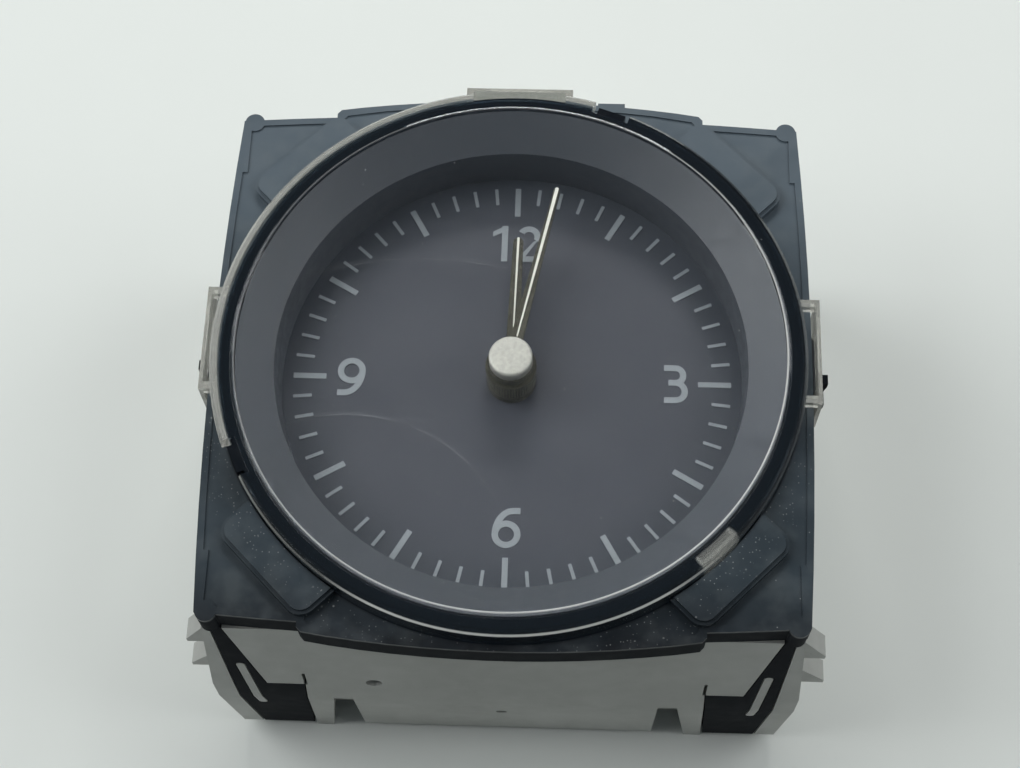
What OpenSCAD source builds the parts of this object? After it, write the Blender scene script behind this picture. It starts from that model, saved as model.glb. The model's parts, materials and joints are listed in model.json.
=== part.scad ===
// Car clock: a round analogue dial in a snap-in dashboard module.
// Sizes are in millimetres. X points to 3 o'clock, Y to 12 o'clock and Z out through the lens.
// The flat rear panel and the feet lie on Z = 0, and the hands turn about the Z axis.
// The hands stand at two minutes past twelve.

/* [Dial and hands] */
// Outer radius of the minute scale
scale_r = 26; // [24:0.1:28]
// Height of the dial face above the rear panel
dial_z = 38; // [36:0.25:42]
// Thickness of the dial plate
dial_t = 0.8; // [0.5:0.1:1]
// Length of a minute mark
minute_mark_l = 2.2; // [1.6:0.1:2.6]
// Length of an hour mark
hour_mark_l = 3.9; // [3:0.1:4.4]
// Height of the numerals
numeral_h = 4.9; // [4:0.1:5.4]
// Stroke width of the numerals
numeral_w = 0.75; // [0.5:0.05:0.9]
// Length of the minute hand from its axis
minute_hand_l = 23.4; // [20:0.2:25]
// Length of the hour hand from its axis
hour_hand_l = 17.6; // [14:0.2:19]
// Radius of the metal cap over the hands
cap_r = 2.55; // [2.2:0.05:2.9]
// Height of the metal cap
cap_h = 1.5; // [1.2:0.1:1.8]
// Height of the hour hand's boss above the dial
hour_boss_h = 4.3; // [3.8:0.1:4.8]
// Minutes shown past twelve
shown_minutes = 2; // [0:0.5:10]

/* [Lens and mask ring] */
// Gap between the minute scale and the mask ring
mask_gap = 1.3; // [1:0.1:2]
// How far the mask ring opens out towards the lens
mask_flare = 4.2; // [3:0.1:5]
// Thickness of the collar round the mask ring
collar_t = 1.5; // [1.2:0.1:1.8]
// How far the lens reaches over the collar
lens_lap = 0.9; // [0.8:0.1:1.4]
// Thickness of the lens window
lens_t = 1.1; // [0.8:0.1:1.4]
// Height of the lens top above the dial
lens_rise = 10.4; // [9.6:0.1:12]
// Height above the dial where the mask ring starts to open out
mask_wall_h = 6; // [5:0.25:6.5]
// Length of each lens clip along the rim
clip_l = 13; // [10:0.5:14]

/* [Front frame] */
// How far the frame stands outside the lens at 3, 6, 9 and 12 o'clock
frame_margin = 0.8; // [0.4:0.1:3]
// How far each side edge swells beyond its corners
side_swell = 1; // [0.6:0.1:1.2]
// How far the corner parts stand back from the stepped-out middle of the end edges
corner_step = 2.2; // [1.6:0.1:2.4]
// How far the end edges swell beyond their corners
end_swell = 1.2; // [0.8:0.1:1.4]
// Half width of the stepped-out middle
step_half_x = 22.4; // [20:0.2:24]
// Height of the frame's front face above the dial
plate_rise = 6.4; // [5.8:0.1:7]
// Thickness of the frame plate
plate_t = 1.8; // [1.4:0.1:2]
// Depth of the frame's skirt below the plate
skirt_h = 2; // [1.5:0.1:2.5]
// Thickness of the skirt
skirt_t = 1.2; // [1:0.1:1.3]
// Height of the raised corner pads
pad_h = 1.4; // [0.8:0.1:1.8]
// Thickness of the frame's snap legs
leg_t = 1.2; // [1:0.1:1.4]

/* [Rear housing] */
// How far the side walls start inside the frame's edge
side_inset = 1.2; // [1:0.1:1.4]
// How far the side walls lean out down to their fold
side_lean = 1.4; // [1:0.1:1.8]
// How far the side walls turn in from the fold to the rear edge
side_tuck = 0.7; // [0.3:0.1:1]
// Height at which the side walls turn in
side_fold_z = 22.7; // [21:0.1:24.5]
// How far the end walls start inside the frame's corner parts
end_inset = 0.7; // [0.6:0.05:0.8]
// How far the end walls lean out down to their fold
end_lean = 2.15; // [1.9:0.05:2.4]
// How far the end walls turn in from the fold to the rear edge
end_tuck = 1.05; // [0.9:0.05:1.2]
// Height at which the end walls turn in
end_fold_z = 18.6; // [17:0.1:20]
// Thickness of the housing walls
wall_t = 2.4; // [2.2:0.1:2.6]
// Thickness of the housing floor
floor_t = 1.6; // [1.2:0.1:2]
// Height of the wall's rear edge above the feet
rear_edge_z = 1.8; // [1.4:0.1:2]
// Half size of the raised rear panel
panel_half = 22; // [20:0.5:23]

/* [Circuit board and connector] */
// Height of the circuit board's underside
board_z = 9; // [8.8:0.1:9.4]
// Thickness of the circuit board
board_t = 1.6; // [1.2:0.1:1.8]
// Half width of the circuit board
board_half_x = 28; // [27:0.25:28.5]
// Half height of the circuit board
board_half_y = 26; // [25.5:0.25:26.5]
// Width of the connector cavity
socket_w = 12; // [11.5:0.25:12.5]
// Height of the connector cavity across its pins
socket_h = 8.6; // [8.4:0.1:9]
// Wall of the connector shroud
socket_wall = 1.3; // [1:0.1:1.5]
// Distance of the connector from the hand axis
socket_y = 14; // [13.5:0.25:14.5]
// Distance between neighbouring pins
pin_pitch = 2.54; // [2.5:0.02:2.6]

/* [Movement] */
// Module of the rotor pinion and its wheel
module_rotor = 0.25; // [0.24:0.005:0.26]
// Module of the intermediate pinion and the minute wheel
module_minute = 0.3; // [0.29:0.005:0.31]
// Thickness of the gear wheels
wheel_t = 1; // [0.8:0.1:1.1]
// Length of the pinions
pinion_l = 2.2; // [2:0.1:2.3]
// Radius of the minute arbor
arbor_r = 0.6; // [0.5:0.05:0.65]
// Radius of the other arbors
pivot_r = 0.45; // [0.35:0.05:0.5]
// Radius of the rotor magnet
magnet_r = 2.7; // [2.5:0.05:2.8]

/* [Hidden] */

$fn = 96;
// Arcs of very large radius need more segments in a preview
flat_arc_fn = 720;
// How far a cut runs past a face
cut = 1;
// How far joined solids run into each other
weld = 0.1;

// Named clearances
running_gap = 0.06;
slip_gap = 0.1;
snap_gap = 0.15;
loose_gap = 0.3;

// Heights and radii of the front parts
plate_top = dial_z + plate_rise;
plate_z = plate_top - plate_t;
skirt_z = plate_z - skirt_h;
lens_top = dial_z + lens_rise;
lens_z = lens_top - lens_t;
dial_lap = 1.3;
guide_lap = 0.6;
dial_back_z = dial_z - dial_t;
guide_t = 2.4;
guide_z = dial_back_z - guide_t;
deck_t = 1.6;
deck_z = guide_z - deck_t;
deck_rim_t = 1.2;
deck_ledge = 1.6;
mask_r = scale_r + mask_gap;
dial_r = mask_r + dial_lap;
guide_r = dial_r + guide_lap;
mask_top_r = mask_r + mask_flare;
collar_r = mask_top_r + slip_gap;
lens_r = collar_r + collar_t + lens_lap;

// Mask ring and collar
mask_t = 1.2;
mask_lean = 0.2;
mask_bend_drop = 0.7;
collar_top = lens_z - slip_gap;

// Frame outline, lip and posts
frame_half_x = lens_r + frame_margin;
step_half_y = lens_r + frame_margin;
frame_half_y = step_half_y - corner_step;
step_swell = 1.7;
post_r = 1.2;
post_in_x = 2.3;
post_in_y = 1.5;
post_x = frame_half_x - post_in_x;
post_y = frame_half_y - post_in_y;
lip_w = 0.8;
lip_h = 0.2;
// Where the lip is wider, on the sides next to the posts
wide_lip_w = 2;
wide_lip_from = post_y - 7;
// Cut across the corners of the stepped-out middle
step_chamfer = 0.5;
// Lug on the edge beside 12 o'clock: place along X, width and how far it stands out
edge_lug_x = 9.6;
edge_lug_w = 3.3;
edge_lug_proud = 0.1;

// Raised pads at the corners
pad_w = 4.3;
pad_in_r = lens_r + slip_gap;
pad_out = pad_in_r + pad_w;
pad_half_l = 7.3;
pad_corner_r = 2;
pad_turn = 45;
pad_bevel = 0.4;

// Lens rim, clips, notches and hook
rim_drop = 0.6;
rim_w = 2.4;
rim_r = lens_r - rim_w;
rim_slope_w = 0.5;
rim_bevel = 0.4;
// Wider part of the rim, from one notch round past 9 and 12 o'clock to the other
rim_band_w = 0.5;
rim_band_z = plate_top + pad_h + snap_gap;
lens_skirt_t = 0.6;
lens_skirt_gap = 0.2;
lens_skirt_z = plate_top + lens_skirt_gap;
skirt_in_r = lens_r - lens_skirt_t;
skirt_mid_r = lens_r - lens_skirt_t / 2;
rim_z = lens_top - rim_drop;
clip_gap = 0.4;
clip_t = 0.45;
clip_end_l = 0.9;
clip_root = 3;
clip_drop = 2.2;
clip_overhang = 1.6;
clip_bar_h = 1.2;
clip_bridge_h = 0.8;
clip_top = lens_top - clip_drop;
clip_bottom = skirt_z - clip_overhang;
clip_shift = 1.2;
clip_window_z = clip_bottom + clip_bar_h;
clip_window_top = plate_top - clip_bridge_h;
catch_half_l = 3.4;
catch_end_gap = 0.4;
catch_edge_h = 0.6;
catch_lean = 0.2;
notch_turns = [19.5, 245];
notch_w = 4.6;
notch_deep = 1.3;
notch_in_r = lens_r - notch_deep;
rim_band_turns = [notch_turns[1] - 360, notch_turns[0]];
notch_lug_gap = 0.6;
notch_lug_root = 0.5;
hook_turn = 135;
hook_gap_w = 6;
hook_w = 4.4;
hook_in_gap = 0.2;
hook_out_gap = 0.1;

// Housing walls, and snap legs at the corners as seen from the end walls
body_half_x = frame_half_x - side_inset;
body_fold_x = body_half_x + side_lean;
body_rear_x = body_fold_x - side_tuck;
body_half_y = frame_half_y - end_inset;
body_fold_y = body_half_y + end_lean;
body_rear_y = body_fold_y - end_tuck;
leg_root_h = 1;
leg_root_z = skirt_z + leg_root_h;
leg_edge_top = 1;
leg_edge = 2.7;
strap_out = [body_half_x - leg_edge_top, body_fold_x - leg_edge, body_rear_x - leg_edge];
strap_w = [1, 3.8];
bar_w = [8.4, 6.5];
bar_top = 23.2;
strap_in_top = strap_out[0] - strap_w[0];
strap_in_fold = strap_out[1] - strap_w[1];
bar_in_fold = strap_out[1] - bar_w[0];
bar_in_rear = strap_out[2] - bar_w[1];
// Ends of the slot: how far in from the leg's edge and how far above the cross bar
slot_ends = [[1.85, 6], [1.7, -7.8]];
slot_top = [strap_out[0] - slot_ends[0][0], bar_top + slot_ends[0][1]];
slot_end = [strap_out[2] - slot_ends[1][0], bar_top + slot_ends[1][1]];
slot_w = 1.3;
slit_w = 0.4;
slit_h = 3.6;
slit_top = bar_top + slit_h;

// Feet and notches in the end walls
foot_w = [3.1, 2.3];
foot_in_top = bar_in_fold - foot_w[0];
foot_in_rear = bar_in_rear - foot_w[1];
notch_w_top = 2.3;
notch_side = foot_in_top - notch_w_top;
notch_depth = 2.9;
backing_t = 1.2;
backing_lap = 2;

// Side catches
side_leg_half = 4;
side_leg_t = 0.9;
side_leg_tail = 2.2;
side_leg_z = side_fold_z - side_leg_tail;
side_window_half = 2.2;
side_window_h = 3;
side_window_lift = 1.2;
side_lug_proud = 0.7;
side_lug_lean = 1.1;
side_lug_edge_h = 0.6;
side_lug_h = 2.6;
barb_reach = 2.6;
barb_x = frame_half_x + barb_reach;
barb_top = clip_bottom - snap_gap;
upper_barb_h = 4;
barb_split_z = barb_top - upper_barb_h;
barb_low = side_leg_z + side_window_lift + side_window_h;
barb_edge_h = 0.9;
upper_barb_y = [0.3, 1.5];
lower_barb_y = [-0.6, 1.5];
upper_barb_neck = 2.7;
lower_barb_neck = 1.5;
tooth_edge = 1.8;
tooth_y = body_half_y - tooth_edge;
tooth_w = 2.5;
tooth_root = body_half_x - leg_edge_top;
// Saw teeth: how far the tip stands out, and how far the root and the flat side lie below the frame
teeth = [[3.8, 2.4, 12.2], [5, 13.7, 22.9]];
tooth_tip = 0.9;

// Marks moulded in the lower end wall: place along X, height, radius
wall_dimples = [[-15.5, 24.3, 1], [-0.6, 12.7, 0.7]];
dimple_depth = 1.6;

// Printing on the dial
print_t = 0.08;
minute_mark_w = 0.4;
hour_mark_w = 0.68;
numeral_half = numeral_h / 2;
bowl_r = numeral_h * 0.34;
stem_steps = 12;
twelve_in = 7.7;
twelve_one_x = -1.45;
twelve_two_x = 1.5;
three_in = 6.6;
six_in = 7.5;
nine_in = 6.9;

// Board screws and the bosses that they go into
boss_inset = 3.6;
boss_x = board_half_x - boss_inset;
boss_y = board_half_y - boss_inset;
boss_r = 2.6;
screw_r = 1;
screw_l = 4;
screw_head_r = 2.1;
screw_head_h = 1.4;
screw_slot_l = 2.4;
screw_slot_w = 0.5;

// Parts on the circuit board
board_top = board_z + board_t;
led_r = 24;
led_turns = [50, 130, 230, 310];
led_x = 3.2;
led_y = 2.8;
led_h = 1.2;
led_edge_x = led_r * cos(led_turns[0]) - led_x / 2;
led_window_r = 1.1;
chip_at = [20.4, 0];
chip_half = 3.5;
chip_h = 1.3;
lead_pitch = 0.8;
lead_w = 0.36;
lead_l = 1.2;
lead_t = 0.3;
component_gap = 0.9;
capacitor_r = 2.5;
capacitor_h = 5.8;
capacitor_at = [20, -15.5];
crystal_size = [6.4, 3.4, 1.8];
crystal_at = [21, 9];
regulator_size = [5, 4, 1.5];
regulator_at = [component_gap + regulator_size[0] / 2 - led_edge_x, -17];
driver_size = [4.4, 2.8, 2.1];
driver_at = [6, 17];
resistor_size = [1.3, 2, 0.8];
resistor_at = [component_gap + resistor_size[0] / 2 - led_edge_x, 17];
resistor_pitch = 2.4;

// Connector
pin_w = 0.64;
pin_play = 0.02;
pin_hole_w = 0.9;
pin_inset = 1.6;
pin_y = -socket_y - socket_h / 2 + pin_inset;
pin_start_z = 2;
pin_tail = 0.4;
socket_floor_t = 1.6;
keyway_w = 1.6;
keyway_depth = 3;

// Movement layout: teeth, which the ratios of the train fix
rotor_teeth = 8;
second_teeth = 48;
second_pinion_teeth = 8;
minute_teeth = 40;
cannon_teeth = 12;
motion_teeth = 36;
motion_pinion_teeth = 10;
hour_teeth = 40;

// Movement layout: tooth form
pressure_angle = 25;
tooth_play = 0.05;
wheel_addendum = 0.7;
pinion_addendum = 0.85;
dedendum = 1.15;

// Movement layout: stacked heights above the circuit board
base_t = 1.6;
movement_z = board_top + base_t;
stator_lift = 2.8;
stator_z = movement_z + stator_lift;
stator_t = 1.4;
magnet_drop = 0.5;
magnet_z = stator_z - magnet_drop;
magnet_h = 2.4;
mesh_margin = 0.6;
rotor_pinion_z = magnet_z + magnet_h + loose_gap;
second_z = rotor_pinion_z + mesh_margin;
second_pinion_z = second_z + wheel_t + loose_gap;
minute_wheel_z = second_pinion_z + mesh_margin;
cannon_lift = 0.9;
cannon_z = minute_wheel_z + wheel_t + cannon_lift;
cannon_l = 1.8;
motion_lift = 0.4;
motion_z = cannon_z + motion_lift;
motion_pinion_z = motion_z + wheel_t + loose_gap;
hour_wheel_lift = 0.5;
hour_wheel_z = motion_pinion_z + hour_wheel_lift;
case_top_gap = 0.9;
case_top_z = motion_pinion_z + pinion_l + case_top_gap;
case_top_t = 1.6;
rear_case_h = 6.8;
case_split_z = movement_z + rear_case_h;
pivot_depth = 0.9;
arbor_low = movement_z - pivot_depth + running_gap;
arbor_high = case_top_z + pivot_depth - running_gap;

// Movement layout: places of the arbors
second_turn = 215;
rotor_turn = 150;
motion_turn = 35;
second_reach = module_minute * (minute_teeth + second_pinion_teeth) / 2;
rotor_reach = module_rotor * (second_teeth + rotor_teeth) / 2;
motion_reach = module_minute * (cannon_teeth + motion_teeth) / 2;
module_hour = 2 * motion_reach / (motion_pinion_teeth + hour_teeth);
function polar(r, a) = [r * cos(a), r * sin(a)];
second_at = polar(second_reach, second_turn);
rotor_at = second_at + polar(rotor_reach, rotor_turn);
motion_at = polar(motion_reach, motion_turn);

// Angle of a wheel's first tooth that meshes with a driver at the angle turn from it
function mesh_turn(turn, driver_turn, driver_n, n) =
    turn + 180 + 180 / n + (turn - driver_turn) * driver_n / n;
second_pinion_phase = mesh_turn(second_turn, 0, minute_teeth, second_pinion_teeth);
rotor_phase = mesh_turn(rotor_turn, second_pinion_phase, second_teeth, rotor_teeth);
motion_phase = mesh_turn(motion_turn, 0, cannon_teeth, motion_teeth);
hour_phase = mesh_turn(motion_turn + 180, motion_phase, motion_pinion_teeth, hour_teeth);

// Stator and coil
magnet_gap = 0.5;
yoke_half = 4.3;
yoke_left = rotor_at[0] - yoke_half;
arm_w = 2.4;
core_w = 3;
core_t = 1.4;
core_half_l = 9.5;
core_play = 0.05;
sleeve_r = 2.1;
winding_r = 2.8;
flange_r = 3.1;
flange_t = 0.8;
bobbin_end_gap = 0.7;
bobbin_half_l = core_half_l - arm_w - bobbin_end_gap;
coil_x = yoke_left - flange_r - slip_gap;
coil_y = -0.5;
coil_z = stator_z + stator_t + core_t / 2;
stator_left = coil_x - core_w / 2;
core_pillar_r = 1.2;
pillar_y = core_half_l - core_pillar_r;
yoke_pillar_r = 1;
yoke_pillar_shift = 2;
yoke_pillar_x = rotor_at[0] + yoke_pillar_shift;

// Movement case, drawn round the wheels
case_wall = 1.2;
second_tip_r = module_rotor * (second_teeth / 2 + wheel_addendum);
motion_tip_r = module_minute * (motion_teeth / 2 + wheel_addendum);
case_left = coil_x - flange_r - loose_gap - case_wall;
case_right = motion_at[0] + motion_tip_r + loose_gap + case_wall;
stator_reach = core_half_l + abs(coil_y);
case_half_y = max(second_tip_r - second_at[1], stator_reach) + loose_gap + case_wall;

// Wheel hubs and pipes
wheel_hub_r = 0.85;
cannon_hub_r = 1.2;
pipe_r = 1.5;
pipe_seat = 0.6;
tube_r = 2.5;

// Hands, stacked from the dial upwards
minute_hub_lap = 0.15;
minute_hub_r = cap_r + minute_hub_lap;
hour_hub_r = minute_hub_r + loose_gap;
hand_t = 0.9;
hour_blade_rise = 2.1;
hour_blade_z = dial_z + hour_blade_rise;
minute_boss_h = 0.5;
line_t = 0.1;
hour_hand_w = [1.7, 1.2];
minute_hand_w = [1.6, 0.7];
hour_line_w = [0.16, 0.28];
minute_line_w = [0.16, 0.42];
hour_line_start = 5.6;
minute_line_gap = 0.5;
minute_line_start = cap_r + minute_line_gap;
hour_boss_top = dial_z + hour_boss_h;
minute_boss_z = hour_boss_top + loose_gap;
minute_blade_z = minute_boss_z + minute_boss_h;
cap_sink = 0.35;
cap_z = minute_blade_z + hand_t - cap_sink;
cap_top = cap_z + cap_h;
cap_bevel = 0.2;
cap_roof_t = 0.6;
arbor_top = cap_top - cap_roof_t;
minute_turn = -6 * shown_minutes;
hour_turn = minute_turn / 12;

// Helpers

// Radius of an arc with the given half chord and rise
function arc_radius(half_chord, rise) = (half_chord * half_chord + rise * rise) / (2 * rise);

// Area between two facing arcs that stand half_mid out on the X axis
module barrel(half_mid, half_chord, rise) {
    r = arc_radius(half_chord, rise);
    intersection() {
        translate([r - half_mid, 0]) circle(r = r, $fn = flat_arc_fn);
        translate([half_mid - r, 0]) circle(r = r, $fn = flat_arc_fn);
    }
}

// Ring with a square section
module ring(r_out, r_in, h) {
    difference() {
        cylinder(r = r_out, h = h);
        translate([0, 0, -cut]) cylinder(r = r_in, h = h + 2 * cut);
    }
}

// Box centred in X and Y
module slab(x, y, h) {
    translate([-x / 2, -y / 2, 0]) cube([x, y, h]);
}

// Children moved to a place in X and Y and a height
module place(at, z) {
    translate([at[0], at[1], z]) children();
}

// Two copies, mirrored in Y
module both_ends() {
    children();
    mirror([0, 1, 0]) children();
}

// Two copies, mirrored in X
module both_sides() {
    children();
    mirror([1, 0, 0]) children();
}

// Clock angle in degrees from 12, clockwise, turned into a rotation with +X pointing out
module at_clock(turn) {
    rotate([0, 0, 90 - turn]) children();
}

// An X and Z outline swept along Y from y_from to y_to
module along_y(y_from, y_to) {
    translate([0, y_to, 0]) rotate([90, 0, 0]) linear_extrude(height = y_to - y_from) children();
}

// A Y and Z outline swept along X from x_from to x_to
module along_x(x_from, x_to) {
    translate([x_from, 0, 0]) rotate([90, 0, 90]) linear_extrude(height = x_to - x_from) children();
}

// Spur gear: involute flanks, first tooth on +X
module gear(n, m, thick, addendum, bore_r) {
    pitch_r = n * m / 2;
    base_r = pitch_r * cos(pressure_angle);
    tip_r = pitch_r + addendum * m;
    root_r = pitch_r - dedendum * m;
    half_pitch_turn = (90 / n) - (tooth_play / pitch_r) * 90 / PI;
    function roll(r) = let (a = acos(min(1, base_r / r))) tan(a) * 180 / PI - a;
    function half_turn(r) = half_pitch_turn + roll(pitch_r) - roll(max(r, base_r));
    radii = [root_r, max(root_r + 0.01, base_r), pitch_r, (pitch_r + tip_r) / 2, tip_r];
    points = [
        for (tooth = [0 : n - 1], side = [-1, 1], k = [0 : len(radii) - 1])
            let (r = radii[side < 0 ? k : len(radii) - 1 - k])
            polar(r, tooth * 360 / n + side * half_turn(r))
    ];
    linear_extrude(height = thick) difference() {
        polygon(points);
        circle(r = bore_r);
    }
}

// Wheel arbor between blind pivots in the movement case
module arbor(at) {
    place(at, arbor_low) cylinder(r = pivot_r, h = arbor_high - arbor_low);
}

// Sides of the stepped-out middle, with chamfers where they meet its edge; peak clears the swell
module step_sides(half, edge) {
    c = step_chamfer;
    peak = edge + 2 * step_swell;
    polygon([
        [peak, 0], [edge + c * step_swell / half, half - c], [edge - c, half],
        [c - edge, half], [-edge - c * step_swell / half, half - c], [-peak, 0],
        [-edge - c * step_swell / half, c - half], [c - edge, -half],
        [edge - c, -half], [edge + c * step_swell / half, c - half]
    ]);
}

// Frame outline, drawn in by inset on every side
module frame_outline(inset) {
    intersection() {
        barrel(frame_half_x - inset, post_y, side_swell);
        rotate(90) union() {
            barrel(frame_half_y - inset, post_x, end_swell);
            intersection() {
                barrel(step_half_y - inset, step_half_x, step_swell);
                step_sides(step_half_x - inset, step_half_y - step_swell - inset);
            }
        }
    }
}

// Profile of the housing across one axis, running past both of its ends
module flare(half, fold, fold_z, rear, inset) {
    slope_up = (half - fold) / (skirt_z - fold_z);
    slope_down = (fold - rear) / (fold_z - rear_edge_z);
    z_high = plate_top;
    z_low = -2 * cut;
    top = half + slope_up * (z_high - skirt_z) - inset;
    low = rear + slope_down * (z_low - rear_edge_z) - inset;
    polygon([
        [-top, z_high], [-(fold - inset), fold_z], [-low, z_low],
        [low, z_low], [fold - inset, fold_z], [top, z_high]
    ]);
}

module end_flare(inset) {
    flare(body_half_y, body_fold_y, end_fold_z, body_rear_y, inset);
}

module side_flare(inset) {
    flare(body_half_x, body_fold_x, side_fold_z, body_rear_x, inset);
}

// Housing body with its walls drawn in by inset
module housing_solid(inset, z_low, z_high) {
    reach = body_fold_x + 4 * cut;
    intersection() {
        along_y(-reach, reach) side_flare(inset);
        along_x(-reach, reach) end_flare(inset);
        translate([0, 0, z_low]) slab(2 * reach, 2 * reach, z_high - z_low);
    }
}

// Layer of the end walls between two depths, cut to the X and Z outline given
module end_wall_layer(from_depth, to_depth, z_low, z_high) {
    reach = body_fold_x + 4 * cut;
    intersection() {
        difference() {
            housing_solid(from_depth, z_low, z_high);
            along_x(-2 * reach, 2 * reach) end_flare(to_depth);
        }
        both_sides() along_y(-reach, reach) children();
    }
}

// Front frame

// Outline of a corner leg, a strap that ends in a cross bar
module leg_outline(grow, z_low) {
    polygon([
        [strap_out[0] + grow, leg_root_z],
        [strap_out[1] + grow, side_fold_z],
        [strap_out[2] + grow, z_low],
        [bar_in_rear - grow, z_low],
        [bar_in_fold - grow, bar_top + grow],
        [strap_in_fold - grow, bar_top + grow],
        [strap_in_top - grow, leg_root_z]
    ]);
}

// Outline of the slanted slot in a leg
module leg_slot(shrink) {
    w = slot_w / 2 - shrink;
    translate(slot_top) circle(r = w);
    translate(slot_end) circle(r = w);
    polygon([
        slot_top + [w, 0], slot_top - [w, 0], slot_end - [w, 0], slot_end + [w, 0]
    ]);
}

module corner_legs() {
    end_wall_layer(0, leg_t, rear_edge_z, leg_root_z) difference() {
        leg_outline(0, rear_edge_z);
        leg_slot(0);
    }
}

// Window in a side leg, as a Y and Z outline
module side_window() {
    translate([-side_window_half, side_leg_z + side_window_lift])
        square([2 * side_window_half, side_window_h]);
}

// Barb on a side leg: flat on top, running in towards the rear
module barb(y_span, z_top, z_low, neck) {
    root = body_half_x + side_leg_t / 2;
    along_y(y_span[0], y_span[1]) polygon([
        [root, z_top], [barb_x, z_top], [barb_x, z_top - barb_edge_h], [root + neck, z_low], [root, z_low]
    ]);
}

// Side leg with a window and two barbs, lying on the outside of the side wall
module side_leg() {
    difference() {
        union() {
            intersection() {
                housing_solid(-side_leg_t, side_leg_z, skirt_z + cut / 2);
                along_x(tooth_root, body_fold_x + 3 * cut) difference() {
                    translate([-side_leg_half, side_leg_z])
                        square([2 * side_leg_half, skirt_z - side_leg_z + cut]);
                    side_window();
                }
            }
            barb(upper_barb_y, barb_top, barb_split_z, upper_barb_neck);
            barb(lower_barb_y, barb_split_z, barb_low, lower_barb_neck);
        }
        housing_solid(0, side_leg_z - cut, skirt_z + cut);
    }
}

// Raised pad with a bevelled edge, pointing along +X
module pad() {
    root_r = pad_in_r - 4 * cut;
    module pad_outline(inset) {
        polygon([
            [root_r, -pad_half_l + inset], [pad_out - pad_corner_r, -pad_half_l + inset],
            [pad_out - inset, -pad_half_l + pad_corner_r], [pad_out - inset, pad_half_l - pad_corner_r],
            [pad_out - pad_corner_r, pad_half_l - inset], [root_r, pad_half_l - inset]
        ]);
        for (side = [-1, 1]) translate([pad_out - pad_corner_r, side * (pad_half_l - pad_corner_r)])
            circle(r = pad_corner_r - inset);
    }
    difference() {
        translate([0, 0, plate_top - cut]) {
            linear_extrude(height = cut + pad_h - pad_bevel) pad_outline(0);
            linear_extrude(height = cut + pad_h) pad_outline(pad_bevel);
        }
        translate([0, 0, plate_top - 2 * cut]) cylinder(r = pad_in_r, h = pad_h + 4 * cut);
    }
}

// Small catch under a lens clip, pointing along +X
module clip_catch() {
    low = clip_window_z + catch_end_gap;
    high = clip_window_top - catch_end_gap;
    tip = frame_half_x + clip_gap + clip_t;
    along_y(clip_shift - catch_half_l, clip_shift + catch_half_l) polygon([
        [frame_half_x - cut, low], [tip, low], [tip, low + catch_edge_h],
        [frame_half_x - catch_lean, high], [frame_half_x - cut, high]
    ]);
}

// Lug that stands in a notch of the lens edge
module notch_lug(turn) {
    w = notch_w - 2 * notch_lug_gap;
    at_clock(turn) translate([notch_in_r + slip_gap, -w / 2, plate_top - notch_lug_root])
        cube([lens_r - notch_in_r - 2 * slip_gap, w, collar_top - plate_top + notch_lug_root]);
}

// Plate, lip, skirt and collar
module frame_shell() {
    translate([0, 0, plate_z]) linear_extrude(height = plate_t) frame_outline(0);
    translate([0, 0, plate_top - weld]) linear_extrude(height = lip_h + weld) difference() {
        frame_outline(0);
        difference() {
            frame_outline(lip_w);
            both_ends() both_sides() translate([frame_half_x - wide_lip_w, wide_lip_from])
                square([wide_lip_w, post_y - wide_lip_from]);
        }
    }
    translate([0, 0, skirt_z]) linear_extrude(height = skirt_h + weld) difference() {
        frame_outline(0);
        frame_outline(skirt_t);
    }
    translate([0, 0, plate_z]) cylinder(r = collar_r + collar_t, h = collar_top - plate_z);
}

module front_frame() {
    color([0.08, 0.085, 0.095]) difference() {
        union() {
            frame_shell();
            both_ends() both_sides() {
                place([post_x, post_y], skirt_z) cylinder(r = post_r, h = plate_top + lip_h - skirt_z);
                rotate([0, 0, 90 - pad_turn]) pad();
            }
            corner_legs();
            both_sides() side_leg();
            both_sides() clip_catch();
            translate([0, step_half_y - frame_half_x, 0]) rotate([0, 0, 90])
                translate([0, -clip_shift, 0]) clip_catch();
            for (turn = notch_turns) notch_lug(turn);
            translate([edge_lug_x, step_half_y - skirt_t, skirt_z])
                cube([edge_lug_w, skirt_t + edge_lug_proud, plate_top - skirt_z]);
        }
        translate([0, 0, plate_z - cut]) cylinder(r = collar_r, h = lens_rise);
        at_clock(hook_turn) translate([collar_r - cut, -hook_gap_w / 2, plate_top])
            cube([collar_t + 1.5 * cut, hook_gap_w, lens_rise]);
    }
}

// Lens

// Clip loop on the lens rim, pointing along +X, with its outer bar at bar_x
module lens_clip(bar_x) {
    arm_x = lens_r - clip_root;
    arm_z = plate_top + lip_h + snap_gap;
    window_half = catch_half_l + loose_gap;
    difference() {
        union() {
            translate([bar_x, -clip_l / 2, clip_bottom]) cube([clip_t, clip_l, clip_top - clip_bottom]);
            for (side = [-1, 1])
                translate([arm_x, side * (clip_l - clip_end_l) / 2 - clip_end_l / 2, arm_z])
                    cube([bar_x + clip_t - arm_x, clip_end_l, clip_top - arm_z]);
        }
        translate([bar_x - cut, -window_half, clip_window_z])
            cube([clip_t + 2 * cut, 2 * window_half, clip_window_top - clip_window_z]);
    }
}

// Wider part of the rim, cut out of a whole ring by a sector
module rim_band() {
    r = lens_r + rim_band_w;
    span = rim_band_turns[1] - rim_band_turns[0];
    steps = ceil(span / 45);
    intersection() {
        rotate_extrude() polygon([
            [skirt_mid_r, rim_band_z], [r, rim_band_z], [r, rim_z - rim_bevel],
            [r - rim_bevel, rim_z], [skirt_mid_r, rim_z]
        ]);
        translate([0, 0, plate_z]) linear_extrude(height = lens_rise) polygon(concat(
            [[0, 0]], [for (k = [0 : steps]) polar(2 * lens_r, 90 - rim_band_turns[0] - span * k / steps)]
        ));
    }
}

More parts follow.
